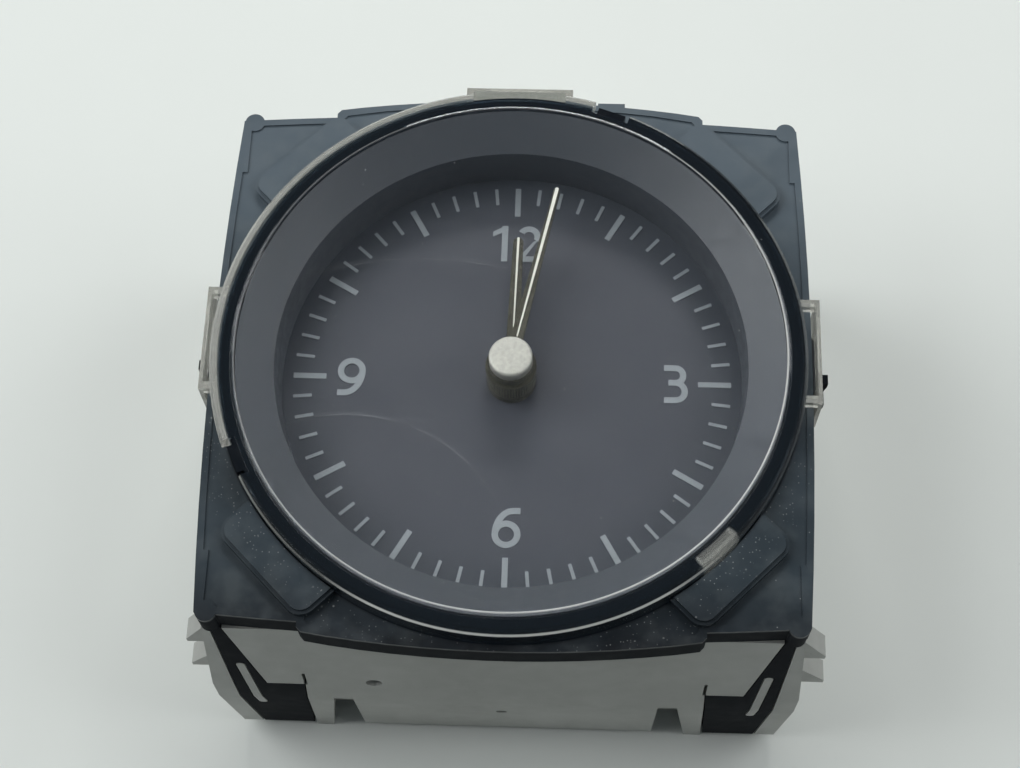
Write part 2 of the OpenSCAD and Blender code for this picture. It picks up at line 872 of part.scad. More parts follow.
// Slot through the rim inside the clip at 12 o'clock, which leaves the clip's bar standing free
module rim_slot() {
    slot_l = clip_l - 2 * clip_end_l;
    intersection() {
        translate([0, 0, plate_top]) ring(lens_r + clip_root, skirt_in_r - slip_gap, lens_rise);
        translate([-slot_l / 2, 0, plate_top]) cube([slot_l, 2 * lens_r, lens_rise]);
    }
}

// Window and rim with its two notches
module lens_disc() {
    difference() {
        union() {
            rotate_extrude() polygon([
                [0, lens_z], [skirt_in_r, lens_z], [skirt_in_r, lens_skirt_z], [lens_r, lens_skirt_z],
                [lens_r, rim_z - rim_bevel], [lens_r - rim_bevel, rim_z],
                [rim_r + rim_slope_w, rim_z], [rim_r, lens_top], [0, lens_top]
            ]);
            rim_band();
        }
        for (turn = notch_turns) at_clock(turn)
            translate([notch_in_r, -notch_w / 2, lens_skirt_z - cut]) cube([lens_r, notch_w, lens_rise]);
        rim_slot();
    }
}

// The three clips, joined to the rim's skirt
module lens_clips() {
    difference() {
        union() {
            both_sides() translate([0, clip_shift, 0]) lens_clip(frame_half_x + clip_gap);
            rotate([0, 0, 90]) lens_clip(step_half_y + clip_gap);
        }
        translate([0, 0, plate_z]) cylinder(r = skirt_mid_r, h = lens_rise);
    }
}

module lens() {
    color([0.85, 0.88, 0.9, 0.35]) {
        lens_disc();
        lens_clips();
        at_clock(hook_turn) translate([collar_r + hook_in_gap, -hook_w / 2, plate_top + loose_gap])
            cube([collar_t - hook_in_gap - hook_out_gap, hook_w, lens_z - plate_top]);
    }
}

// Dial parts

module mask_ring() {
    wall_top = dial_z + mask_wall_h;
    color([0.4, 0.4, 0.43]) rotate_extrude() polygon([
        [mask_r, dial_z], [mask_r + mask_lean, wall_top], [mask_top_r, lens_z], [mask_top_r, lens_z - mask_t],
        [mask_r + mask_t + mask_lean, wall_top - mask_bend_drop], [mask_r + mask_t, dial_z]
    ]);
}

module dial() {
    color([0.3, 0.31, 0.33]) translate([0, 0, dial_back_z]) ring(dial_r, tube_r + loose_gap, dial_t);
}

module scale_marks() {
    for (minute = [0 : 59]) {
        is_hour = minute % 5 == 0;
        mark_l = is_hour ? hour_mark_l : minute_mark_l;
        mark_w = is_hour ? hour_mark_w : minute_mark_w;
        at_clock(minute * 6) translate([scale_r - mark_l, -mark_w / 2]) square([mark_l, mark_w]);
    }
}

// Numerals are drawn about their own centres from bars and arcs

module arc_band(r, from, to) {
    span = to - from;
    steps = ceil(span / 60);
    intersection() {
        difference() {
            circle(r = r);
            circle(r = r - numeral_w);
        }
        polygon(concat([[0, 0]], [for (k = [0 : steps]) polar(2 * r, from + span * k / steps)]));
    }
}

module numeral_one() {
    flag = numeral_h * 0.3;
    translate([-numeral_w / 2, -numeral_half]) square([numeral_w, numeral_h]);
    polygon([
        [0, numeral_half], [-flag, numeral_half - numeral_w * 1.1],
        [-flag, numeral_half - numeral_w * 2], [0, numeral_half - numeral_w]
    ]);
}

module numeral_two() {
    top_r = numeral_h * 0.29;
    hook = [top_r - numeral_w * 0.35, numeral_half - top_r * 1.3];
    translate([0, numeral_half - top_r]) arc_band(top_r, -30, 150);
    polygon([
        hook, hook - [numeral_w * 0.75, numeral_w * 0.35],
        [-top_r, -numeral_half + numeral_w * 0.5], [-top_r + numeral_w * 1.1, -numeral_half + numeral_w * 0.6]
    ]);
    translate([-top_r, -numeral_half]) square([2 * top_r, numeral_w]);
}

module numeral_three() {
    top_r = numeral_h * 0.27;
    low_r = (numeral_h + numeral_w) / 2 - top_r;
    translate([0, numeral_half - top_r]) arc_band(top_r, -90, 100);
    translate([0, low_r - numeral_half]) arc_band(low_r, -100, 90);
    translate([-top_r * 0.6, numeral_half - 2 * top_r]) square([top_r * 0.6, numeral_w]);
    translate([-top_r, numeral_half - numeral_w]) square([top_r, numeral_w]);
    translate([-top_r, -numeral_half]) square([top_r, numeral_w]);
}

// Round bowl with a stem that curves up from its left side and ends in a short level bar
module numeral_six() {
    stem_x = numeral_h * 0.16;
    stem_w = bowl_r + stem_x;
    stem_h = numeral_h - bowl_r;
    turns = [for (k = [0 : stem_steps]) 90 + 90 * k / stem_steps];
    translate([0, bowl_r - numeral_half]) {
        arc_band(bowl_r, 0, 360);
        translate([stem_x, 0]) {
            polygon(concat(
                [for (a = turns) [stem_w * cos(a), stem_h * sin(a)]],
                [for (k = [stem_steps : -1 : 0])
                    [(stem_w - numeral_w) * cos(turns[k]), (stem_h - numeral_w) * sin(turns[k])]]
            ));
            translate([-weld, stem_h - numeral_w]) square([stem_x + weld, numeral_w]);
        }
    }
}

module numerals() {
    translate([twelve_one_x, scale_r - twelve_in]) numeral_one();
    translate([twelve_two_x, scale_r - twelve_in]) numeral_two();
    translate([scale_r - three_in, 0]) numeral_three();
    translate([0, six_in - scale_r]) numeral_six();
    translate([nine_in - scale_r, 0]) rotate(180) numeral_six();
}

module dial_markings() {
    color([0.68, 0.71, 0.74]) translate([0, 0, dial_z]) linear_extrude(height = print_t) {
        scale_marks();
        numerals();
    }
}

module light_guide() {
    color([0.93, 0.94, 0.92, 0.7]) translate([0, 0, guide_z]) ring(guide_r, tube_r + loose_gap, guide_t);
}

// Rear housing

// Rim that rises inside the frame's skirt, clear of the corner posts
module housing_rim() {
    root = wall_t / 2;
    difference() {
        translate([0, 0, skirt_z - root]) linear_extrude(height = plate_z - skirt_z + root) intersection() {
            frame_outline(skirt_t + slip_gap);
            square([2 * body_half_x, 2 * body_half_y], center = true);
        }
        both_ends() both_sides() place([post_x, post_y], skirt_z)
            cylinder(r = post_r + slip_gap, h = plate_top);
    }
}

module housing_feet() {
    end_wall_layer(0, wall_t, 0, end_fold_z) polygon([
        [foot_in_top, end_fold_z], [foot_in_rear, 0],
        [bar_in_rear - snap_gap, 0], [bar_in_fold - snap_gap, end_fold_z]
    ]);
}

// Wall behind each notch
module notch_backing() {
    x_from = notch_side - backing_t;
    end_wall_layer(notch_depth, notch_depth + backing_t, rear_edge_z, end_fold_z + backing_lap)
        translate([x_from, rear_edge_z]) square([foot_in_rear + backing_lap - x_from, end_fold_z]);
}

// Openings beside the feet
module notch_cut() {
    end_wall_layer(-cut, notch_depth, -cut, end_fold_z) polygon([
        [notch_side, -cut], [notch_side, end_fold_z], [foot_in_top, end_fold_z], [foot_in_rear + weld, -cut]
    ]);
}

module leg_pocket() {
    end_wall_layer(-cut, leg_t, -cut, leg_root_z + cut) difference() {
        leg_outline(snap_gap, -cut);
        leg_slot(snap_gap);
    }
    end_wall_layer(-cut, leg_t, bar_top, slit_top)
        translate([bar_in_fold - slit_w, bar_top]) square([slit_w, slit_top - bar_top]);
}

// Saw teeth on the side walls
module side_teeth() {
    both_sides() for (tooth = teeth) {
        tip = body_half_x + tooth[0];
        low = skirt_z - tooth[2];
        along_y(-tooth_y, -tooth_y + tooth_w) polygon([
            [tooth_root, skirt_z - tooth[1]], [tip, low + tooth_tip], [tip, low], [tooth_root, low]
        ]);
    }
}

// Wedge that the side leg's window snaps over
module side_lug() {
    z_from = side_leg_z + side_window_lift + snap_gap;
    tip = body_fold_x + side_lug_proud;
    half = side_window_half - snap_gap;
    along_y(-half, half) polygon([
        [body_half_x, z_from], [tip, z_from], [tip, z_from + side_lug_edge_h],
        [tip - side_lug_lean, z_from + side_lug_h], [body_half_x, z_from + side_lug_h]
    ]);
}

// Deck that carries the light guide, with a centring rim
module deck() {
    intersection() {
        housing_solid(wall_t / 2, deck_z, skirt_z);
        translate([0, 0, deck_z]) union() {
            difference() {
                slab(2 * body_fold_x, 2 * body_fold_y, deck_t);
                translate([0, 0, -cut]) cylinder(r = guide_r - deck_ledge, h = deck_t + 2 * cut);
            }
            ring(guide_r + slip_gap + deck_rim_t, guide_r + slip_gap, dial_z - deck_z);
        }
    }
}

module board_bosses() {
    both_ends() both_sides() place([boss_x, boss_y], rear_edge_z)
        cylinder(r = boss_r, h = board_z - rear_edge_z);
}

// Walls, floor and everything that grows from them
module housing_shell() {
    difference() {
        union() {
            housing_solid(0, rear_edge_z, skirt_z);
            housing_rim();
        }
        housing_solid(wall_t, rear_edge_z + floor_t, plate_z + cut);
    }
    housing_feet();
    notch_backing();
    slab(2 * panel_half, 2 * panel_half, rear_edge_z + weld);
    deck();
    board_bosses();
    side_teeth();
    both_sides() side_lug();
}

module rear_housing() {
    socket_play = 2 * (socket_wall + slip_gap);
    color([0.8, 0.8, 0.77]) difference() {
        housing_shell();
        leg_pocket();
        notch_cut();
        translate([0, -socket_y, -cut]) slab(socket_w + socket_play, socket_h + socket_play, board_z);
        for (side = [-1, 1])
            place([side * boss_x, side * boss_y], rear_edge_z + floor_t) cylinder(r = screw_r, h = board_z);
        for (dimple = wall_dimples)
            translate([dimple[0], -body_fold_y - cut, dimple[1]]) rotate([-90, 0, 0])
                cylinder(r = dimple[2], h = cut + dimple_depth);
    }
}

// Circuit board

// Children at the place of each connector pin, at the height z
module each_pin(z) {
    for (k = [-1.5 : 1.5]) place([k * pin_pitch, pin_y], z) children();
}

module circuit_board() {
    color([0.06, 0.3, 0.16]) difference() {
        translate([0, 0, board_z]) slab(2 * board_half_x, 2 * board_half_y, board_t);
        for (side = [-1, 1]) place([side * boss_x, side * boss_y], board_z - cut)
            cylinder(r = screw_r + loose_gap, h = board_t + 2 * cut);
        each_pin(board_z - cut) slab(pin_hole_w, pin_hole_w, board_t + 2 * cut);
    }
}

module board_screws() {
    shank_l = screw_l + board_t;
    module screw() {
        difference() {
            union() {
                translate([0, 0, -shank_l]) cylinder(r = screw_r - running_gap, h = shank_l + weld);
                cylinder(r = screw_head_r, h = screw_head_h);
            }
            for (turn = [0, 90]) rotate([0, 0, turn])
                translate([0, 0, screw_head_h / 2]) slab(screw_slot_l, screw_slot_w, cut);
        }
    }
    color([0.7, 0.7, 0.72]) for (side = [-1, 1]) place([side * boss_x, side * boss_y], board_top) screw();
}

module leds() {
    for (turn = led_turns) place(polar(led_r, turn), board_top) {
        color([0.9, 0.9, 0.86]) slab(led_x, led_y, led_h);
        color([0.95, 0.9, 0.5]) translate([0, 0, led_h - weld])
            cylinder(r = led_window_r, h = loose_gap + weld);
    }
}

module microcontroller() {
    place(chip_at, board_top) {
        color([0.1, 0.1, 0.11]) translate([0, 0, lead_t / 2]) slab(2 * chip_half, 2 * chip_half, chip_h);
        color([0.75, 0.75, 0.77]) for (turn = [0, 90, 180, 270], k = [-3.5 : 3.5])
            rotate([0, 0, turn]) translate([chip_half - lead_w / 2, k * lead_pitch - lead_w / 2, 0])
                cube([lead_l, lead_w, lead_t]);
    }
}

module board_components() {
    module chip(at, size) {
        place(at, board_top) slab(size[0], size[1], size[2]);
    }
    color([0.2, 0.22, 0.3]) place(capacitor_at, board_top) cylinder(r = capacitor_r, h = capacitor_h);
    color([0.78, 0.78, 0.76]) chip(crystal_at, crystal_size);
    color([0.12, 0.12, 0.13]) chip(regulator_at, regulator_size);
    color([0.12, 0.12, 0.13]) chip(driver_at, driver_size);
    color([0.5, 0.4, 0.3]) for (k = [0 : 3]) chip(resistor_at + [k * resistor_pitch, 0], resistor_size);
}

module connector_shroud() {
    hole_w = pin_w + 2 * pin_play;
    color([0.1, 0.1, 0.11]) difference() {
        translate([0, -socket_y, 0]) slab(socket_w + 2 * socket_wall, socket_h + 2 * socket_wall, board_z);
        translate([0, -socket_y, -cut]) slab(socket_w, socket_h, board_z - socket_floor_t + cut);
        each_pin(0) slab(hole_w, hole_w, board_z + cut);
        translate([socket_w / 2 - cut, -socket_y, -cut])
            cube([socket_wall + 2 * cut, keyway_w, keyway_depth + cut]);
    }
}

module connector_pins() {
    color([0.8, 0.78, 0.7]) each_pin(pin_start_z) slab(pin_w, pin_w, board_top + pin_tail - pin_start_z);
}

// Movement

module case_shell(z_from, z_to) {
    w = case_right - case_left;
    h = z_to - z_from;
    translate([case_left, -case_half_y, z_from]) difference() {
        cube([w, 2 * case_half_y, h]);
        translate([case_wall, case_wall, -cut])
            cube([w - 2 * case_wall, 2 * (case_half_y - case_wall), h + 2 * cut]);
    }
}

module case_plate(z_from, t) {
    translate([case_left, -case_half_y, z_from]) cube([case_right - case_left, 2 * case_half_y, t]);
}

// Blind pivot holes for the arbors, from z upwards
module pivot_holes(z) {
    for (at = [second_at, rotor_at, motion_at])
        place(at, z) cylinder(r = pivot_r + running_gap, h = pivot_depth);
}

module movement_case_rear() {
    pillar_h = stator_z - movement_z + weld;
    color([0.15, 0.16, 0.18]) difference() {
        union() {
            case_plate(board_top, base_t);
            case_shell(board_top, case_split_z);
            for (side = [-1, 1]) {
                place([coil_x, coil_y + side * pillar_y], movement_z - weld)
                    cylinder(r = core_pillar_r, h = pillar_h);
                place([yoke_pillar_x, coil_y + side * pillar_y], movement_z - weld)
                    cylinder(r = yoke_pillar_r, h = pillar_h);
            }
        }
        pivot_holes(movement_z - pivot_depth);
        translate([0, 0, movement_z - pivot_depth])
            cylinder(r = arbor_r + running_gap, h = pivot_depth + cut);
    }
}

module movement_case_front() {
    color([0.75, 0.76, 0.74]) difference() {
        union() {
            case_plate(case_top_z, case_top_t);
            case_shell(case_split_z, case_top_z + weld);
            translate([0, 0, case_top_z]) cylinder(r = tube_r, h = dial_back_z + dial_t / 2 - case_top_z);
        }
        pivot_holes(case_top_z);
        translate([0, 0, case_top_z - cut]) cylinder(r = pipe_r + running_gap, h = dial_z);
    }
}

module stator() {
    color([0.62, 0.63, 0.65]) translate([0, coil_y, stator_z]) difference() {
        union() {
            translate([yoke_left, -core_half_l, 0]) cube([2 * yoke_half, 2 * core_half_l, stator_t]);
            for (side = [-1, 1]) translate([stator_left, side * (core_half_l - arm_w / 2) - arm_w / 2, 0])
                cube([yoke_left - stator_left + weld, arm_w, stator_t]);
        }
        place(rotor_at - [0, coil_y], -cut) cylinder(r = magnet_r + magnet_gap, h = stator_t + 2 * cut);
    }
}

module coil_core() {
    color([0.62, 0.63, 0.65]) translate([coil_x, coil_y, coil_z - core_t / 2])
        slab(core_w, 2 * core_half_l, core_t);
}

module coil_bobbin() {
    color([0.85, 0.84, 0.78]) translate([coil_x, coil_y, coil_z]) rotate([-90, 0, 0]) difference() {
        union() {
            translate([0, 0, -bobbin_half_l]) cylinder(r = sleeve_r, h = 2 * bobbin_half_l);
            for (z = [-bobbin_half_l, bobbin_half_l - flange_t])
                translate([0, 0, z]) cylinder(r = flange_r, h = flange_t);
        }
        translate([0, 0, -core_half_l]) slab(core_w + 2 * core_play, core_t + 2 * core_play, 2 * core_half_l);
    }
}

module coil_winding() {
    half_l = bobbin_half_l - flange_t;
    color([0.72, 0.4, 0.2]) translate([coil_x, coil_y - half_l, coil_z]) rotate([-90, 0, 0])
        ring(winding_r, sleeve_r, 2 * half_l);
}

module rotor_magnet() {
    color([0.25, 0.25, 0.27]) place(rotor_at, magnet_z) ring(magnet_r, pivot_r, magnet_h);
}

// Small wheels on the arbors have a bore inside the arbor, which fills it

module rotor_pinion() {
    color([0.9, 0.88, 0.8]) {
        arbor(rotor_at);
        place(rotor_at, rotor_pinion_z) rotate([0, 0, rotor_phase])
            gear(rotor_teeth, module_rotor, pinion_l, pinion_addendum, pivot_r / 2);
    }
}

module second_wheel() {
    color([0.9, 0.88, 0.8]) {
        arbor(second_at);
        place(second_at, second_z) rotate([0, 0, second_pinion_phase])
            gear(second_teeth, module_rotor, wheel_t, wheel_addendum, pivot_r / 2);
        place(second_at, second_z) cylinder(r = wheel_hub_r, h = second_pinion_z - second_z + weld);
        place(second_at, second_pinion_z) rotate([0, 0, second_pinion_phase])
            gear(second_pinion_teeth, module_minute, pinion_l, pinion_addendum, pivot_r / 2);
    }
}

module minute_wheel() {
    hub_z = minute_wheel_z + wheel_t - weld;
    color([0.8, 0.66, 0.35]) {
        translate([0, 0, minute_wheel_z]) gear(minute_teeth, module_minute, wheel_t, wheel_addendum, arbor_r);
        translate([0, 0, hub_z]) ring(cannon_hub_r, arbor_r, cannon_z + weld - hub_z);
        translate([0, 0, cannon_z]) gear(cannon_teeth, module_minute, cannon_l, pinion_addendum, arbor_r);
    }
}

module minute_arbor() {
    color([0.75, 0.76, 0.78]) translate([0, 0, arbor_low]) cylinder(r = arbor_r, h = arbor_top - arbor_low);
}

module motion_wheel() {
    color([0.9, 0.88, 0.8]) {
        arbor(motion_at);
        place(motion_at, motion_z) rotate([0, 0, motion_phase])
            gear(motion_teeth, module_minute, wheel_t, wheel_addendum, pivot_r / 2);
        place(motion_at, motion_z) cylinder(r = wheel_hub_r, h = motion_pinion_z - motion_z + weld);
        place(motion_at, motion_pinion_z) rotate([0, 0, motion_phase])
            gear(motion_pinion_teeth, module_hour, pinion_l, pinion_addendum, pivot_r / 2);
    }
}

module hour_wheel() {
    color([0.9, 0.88, 0.8]) difference() {
        translate([0, 0, hour_wheel_z]) {
            rotate([0, 0, hour_phase]) gear(hour_teeth, module_hour, wheel_t, wheel_addendum, pipe_r / 2);
            cylinder(r = pipe_r, h = hour_boss_top - pipe_seat - hour_wheel_z);
        }
        translate([0, 0, hour_wheel_z - cut]) cylinder(r = arbor_r + running_gap, h = lens_top);
    }
}

// Hands

// Tapered blade along +X with a round tip, w is the width at the root and at the tip
module blade(from, to, w, thick) {
    straight_to = to - w[1] / 2;
    linear_extrude(height = thick) {
        polygon([[from, -w[0] / 2], [straight_to, -w[1] / 2], [straight_to, w[1] / 2], [from, w[0] / 2]]);
        translate([straight_to, 0]) circle(r = w[1] / 2);
    }
}

module hour_hand() {
    boss_z = dial_z + loose_gap;
    color([0.36, 0.36, 0.32, 0.8]) rotate([0, 0, 90 + hour_turn]) difference() {
        union() {
            translate([0, 0, boss_z]) cylinder(r = hour_hub_r, h = hour_boss_top - boss_z);
            translate([0, 0, hour_blade_z]) blade(0, hour_hand_l, hour_hand_w, hand_t);
        }
        translate([0, 0, dial_z - cut]) cylinder(r = pipe_r, h = hour_boss_top - pipe_seat - dial_z + cut);
        translate([0, 0, dial_z]) cylinder(r = arbor_r + running_gap, h = lens_rise);
    }
}

module hour_hand_line() {
    color([0.85, 0.85, 0.8]) rotate([0, 0, 90 + hour_turn]) translate([0, 0, hour_blade_z + hand_t])
        blade(hour_line_start, hour_hand_l, hour_line_w, line_t);
}

module minute_hand() {
    color([0.36, 0.36, 0.32, 0.8]) rotate([0, 0, 90 + minute_turn]) difference() {
        union() {
            translate([0, 0, minute_boss_z]) cylinder(r = minute_hub_r, h = cap_z - minute_boss_z);
            translate([0, 0, minute_blade_z]) blade(0, minute_hand_l, minute_hand_w, hand_t);
        }
        translate([0, 0, dial_z]) cylinder(r = arbor_r, h = lens_rise);
        translate([0, 0, cap_z]) cylinder(r = cap_r, h = cap_h + cut);
    }
}

module minute_hand_line() {
    color([0.85, 0.85, 0.8]) rotate([0, 0, 90 + minute_turn]) translate([0, 0, minute_blade_z + hand_t])
        blade(minute_line_start, minute_hand_l, minute_line_w, line_t);
}

module hand_cap() {
    color([0.8, 0.79, 0.75]) translate([0, 0, cap_z]) difference() {
        rotate_extrude() polygon([
            [0, 0], [cap_r, 0], [cap_r, cap_h - cap_bevel], [cap_r - cap_bevel, cap_h], [0, cap_h]
        ]);
        translate([0, 0, -cut]) cylinder(r = arbor_r, h = arbor_top - cap_z + cut);
    }
}

front_frame();
lens();
mask_ring();
dial();
dial_markings();
light_guide();
rear_housing();
circuit_board();
board_screws();
leds();
microcontroller();
board_components();
connector_shroud();
connector_pins();
movement_case_rear();
movement_case_front();
stator();
coil_core();
coil_bobbin();
coil_winding();
rotor_magnet();
rotor_pinion();
second_wheel();
minute_wheel();
minute_arbor();
motion_wheel();
hour_wheel();
hour_hand();
hour_hand_line();
minute_hand();
minute_hand_line();
hand_cap();
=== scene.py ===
"""Car clock on a pale floor: camera, soft studio light, and a finish for every piece"""
import functools
import json
import math

import bmesh
import bpy
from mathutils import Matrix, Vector


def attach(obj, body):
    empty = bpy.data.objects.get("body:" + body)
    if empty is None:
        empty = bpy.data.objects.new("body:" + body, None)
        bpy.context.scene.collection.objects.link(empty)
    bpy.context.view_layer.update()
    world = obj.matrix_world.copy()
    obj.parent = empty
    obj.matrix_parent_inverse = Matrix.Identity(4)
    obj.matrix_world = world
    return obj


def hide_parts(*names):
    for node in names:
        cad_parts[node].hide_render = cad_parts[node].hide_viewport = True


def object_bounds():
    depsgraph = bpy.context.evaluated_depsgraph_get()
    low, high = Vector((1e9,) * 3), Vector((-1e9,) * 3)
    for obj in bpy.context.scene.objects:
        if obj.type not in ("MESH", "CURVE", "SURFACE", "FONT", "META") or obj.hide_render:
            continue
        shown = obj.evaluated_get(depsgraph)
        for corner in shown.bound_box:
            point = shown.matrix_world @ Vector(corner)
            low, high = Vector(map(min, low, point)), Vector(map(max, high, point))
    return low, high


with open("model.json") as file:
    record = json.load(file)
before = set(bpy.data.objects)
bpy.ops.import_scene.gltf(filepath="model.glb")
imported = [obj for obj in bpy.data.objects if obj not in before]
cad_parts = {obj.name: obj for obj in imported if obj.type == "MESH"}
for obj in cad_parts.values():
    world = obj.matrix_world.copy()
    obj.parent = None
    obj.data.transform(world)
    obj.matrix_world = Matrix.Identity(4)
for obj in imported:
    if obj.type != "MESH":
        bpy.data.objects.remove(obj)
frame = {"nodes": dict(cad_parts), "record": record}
cad_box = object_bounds()

MM = 0.001

# Places on the clock that the finishes follow, in millimetres
LENS_R = 34.0
RIM_STEP_R = LENS_R - 2.43
LENS_TOP = cad_box[1][2] / MM
RIM_EDGE_Z = LENS_TOP - 1.0
PLATE_TOP = LENS_TOP - 4.0
CLIP_BAR_TOP = LENS_TOP - 6.9
HOOK_PLACE = (23.4, -23.4)

# Studio, in metres. The floor fades into the backdrop between two distances in millimetres, and the
# backdrop into the sky between two heights, as sines of the angle above the floor.
LIGHT_REACH = 0.75
FLOOR_HALF_W = 1.5
FLOOR_FADE = (150, 600)
BACKDROP = (0.78, 0.8, 0.79)
BACKDROP_TOP = 0.3
SKY_FOOT = 0.55

# Rounding of the dressed pieces, in millimetres and degrees
SAME_CORNER = 0.0005
FLAT_TURN = 0.05
SHARP_TURN = 35
EDGE_STEPS = 2
FACE_SIZE_WEIGHT = 100
EDGE_WIDTHS = {"front_frame": 0.12, "rear_housing": 0.15, "lens": 0.1, "hand_cap": 0.1}


# Node trees


class NodeTree:
    """Node tree, built by short calls that give back an output"""

    def __init__(self, tree):
        self.nodes = tree.nodes
        self.links = tree.links

    def plug(self, value, socket):
        if isinstance(value, bpy.types.NodeSocket):
            self.links.new(value, socket)
        else:
            socket.default_value = value

    def add(self, kind, inputs=None, output=0, **settings):
        node = self.nodes.new(kind)
        for name, value in settings.items():
            setattr(node, name, value)
        for key, value in (inputs or {}).items():
            self.plug(value, node.inputs[key])
        return node.outputs[output]

    def math(self, operation, a, b=0.0, clamp=False):
        return self.add("ShaderNodeMath", {0: a, 1: b}, operation=operation, use_clamp=clamp)

    def times(self, *values):
        """Product of the values"""
        return functools.reduce(lambda a, b: self.math("MULTIPLY", a, b), values)

    def most(self, *values):
        """Largest of the values"""
        return functools.reduce(lambda a, b: self.math("MAXIMUM", a, b), values)

    def together(self, a, b):
        """Sum of two shares, at most 1"""
        return self.math("ADD", a, b, clamp=True)

    def between(self, value, low, high, to_low=0.0, to_high=1.0):
        """Value from low to high, turned into to_low to to_high"""
        return self.add("ShaderNodeMapRange", {
            "Value": value, "From Min": low, "From Max": high, "To Min": to_low, "To Max": to_high,
        })

    def near(self, value, target, reach, core=0.0):
        """1 within core of the target, fading to 0 at reach"""
        aside = self.math("ABSOLUTE", self.math("SUBTRACT", value, target))
        return self.between(aside, reach, core)

    def axis_of(self, vector, axis):
        return self.add("ShaderNodeSeparateXYZ", {0: vector}, output=axis)

    def looked_at(self):
        """1 on rays from the camera or through glass, 0 on those that only carry light"""
        rays = ("Is Camera Ray", "Is Transmission Ray")
        return self.most(*(self.add("ShaderNodeLightPath", output=ray) for ray in rays))


class Surface(NodeTree):
    """Node tree of one material. Sizes of patterns and places on the object are in millimetres."""

    def __init__(self, name, **uniform):
        self.material = bpy.data.materials.new(name)
        self.material.use_nodes = True
        super().__init__(self.material.node_tree)
        self.shader = self.nodes["Principled BSDF"]
        self.object_place = self.add("ShaderNodeTexCoord", output="Object")
        for socket, value in uniform.items():
            self.set(socket.replace("_", " ").title().replace("Ior", "IOR"), value)

    def set(self, socket, value):
        self.plug(value, self.shader.inputs[socket])

    def place(self, stretch=(1, 1, 1)):
        """Place on the object, with each axis divided by its stretch"""
        scale = tuple(1 / share for share in stretch)
        return self.add("ShaderNodeVectorMath", {0: self.object_place, 1: scale}, operation="MULTIPLY")

    def noise(self, size, detail=3.0, stretch=(1, 1, 1)):
        return self.add("ShaderNodeTexNoise", {
            "Vector": self.place(stretch), "Scale": 1 / (size * MM), "Detail": detail,
        }, output="Fac")

    def mix(self, factor, a, b):
        colors = [(*c, 1) if isinstance(c, tuple) else c for c in (a, b)]
        return self.add("ShaderNodeMix", {0: factor, 6: colors[0], 7: colors[1]}, output=2, data_type="RGBA")

    def specks(self, spacing, size, share):
        """Round specks of the given size on a share of the cells of a scattered grid"""
        cells = {"Vector": self.object_place, "Scale": 1 / (spacing * MM)}
        distance = self.add("ShaderNodeTexVoronoi", cells, output="Distance")
        chance = self.add("ShaderNodeTexVoronoi", cells, output="Color")
        red = self.add("ShaderNodeSeparateColor", {0: chance})
        inside = self.between(distance, size / spacing / 2, size / spacing / 4)
        return self.times(inside, self.math("LESS_THAN", red, share))

    def distance_from(self, middle):
        """Distance from an upright axis through the place (x, y)"""
        flat = self.add("ShaderNodeVectorMath", {
            0: self.object_place, 1: (1 / MM, 1 / MM, 0), 2: (-middle[0], -middle[1], 0),
        }, operation="MULTIPLY_ADD")
        return self.add("ShaderNodeVectorMath", {0: flat}, output="Value", operation="LENGTH")

    def radius(self):
        """Distance from the hands' axis"""
        return self.distance_from((0, 0))

    def arc_line(self, middle, radius, width):
        """Fine uneven line along a circle about an upright axis"""
        line = self.near(self.distance_from(middle), radius, width)
        return self.times(line, self.between(self.noise(2.5), 0.4, 0.65, 0.3, 1))

    def along(self, axis):
        """Place along one axis"""
        return self.times(self.axis_of(self.object_place, axis), 1 / MM)

    def turned_to(self, turn):
        """Cosine of the angle, seen along the hands' axis, between the place and a clockwise turn from 12"""
        angle = math.radians(turn)
        flat = self.add("ShaderNodeVectorMath", {0: self.object_place, 1: (1, 1, 0)}, operation="MULTIPLY")
        unit = self.add("ShaderNodeVectorMath", {0: flat}, operation="NORMALIZE")
        toward = {0: unit, 1: (math.sin(angle), math.cos(angle), 0)}
        return self.add("ShaderNodeVectorMath", toward, output="Value", operation="DOT_PRODUCT")

    def tilt(self):
        """1 on faces that look up along Z, 0 on upright ones"""
        return self.axis_of(self.add("ShaderNodeTexCoord", output="Normal"), "Z")

    def bump(self, height, distance, strength=0.5):
        """Relief: distance is the depth of height's whole range"""
        self.set("Normal", self.add("ShaderNodeBump", {
            "Height": height, "Distance": distance * MM, "Strength": strength,
        }, output="Normal"))


# Scene


def add_camera():
    data = bpy.data.cameras.new("photo_camera")
    data.sensor_width = 36
    data.lens = 65.8
    camera = bpy.data.objects.new("photo_camera", data)
    camera.location = (0.006466, -0.088923, 0.241220)
    camera.rotation_euler = [math.radians(turn) for turn in (23.605, 1.033, 1.932)]
    bpy.context.scene.collection.objects.link(camera)
    bpy.context.scene.camera = camera


def add_soft_light(name, turn, elevation, size, power, color):
    """Soft light panel aimed at the origin; turn is in degrees from 12 o'clock towards 3 o'clock"""
    around = math.radians(turn)
    up = math.radians(elevation)
    data = bpy.data.lights.new(name, "AREA")
    data.shape = "RECTANGLE"
    data.size, data.size_y = size
    data.energy = power
    data.color = color
    light = bpy.data.objects.new(name, data)
    toward = Vector((math.sin(around) * math.cos(up), math.cos(around) * math.cos(up), math.sin(up)))
    light.location = LIGHT_REACH * toward
    light.rotation_euler = (-toward).to_track_quat("-Z", "Y").to_euler()
    bpy.context.scene.collection.objects.link(light)


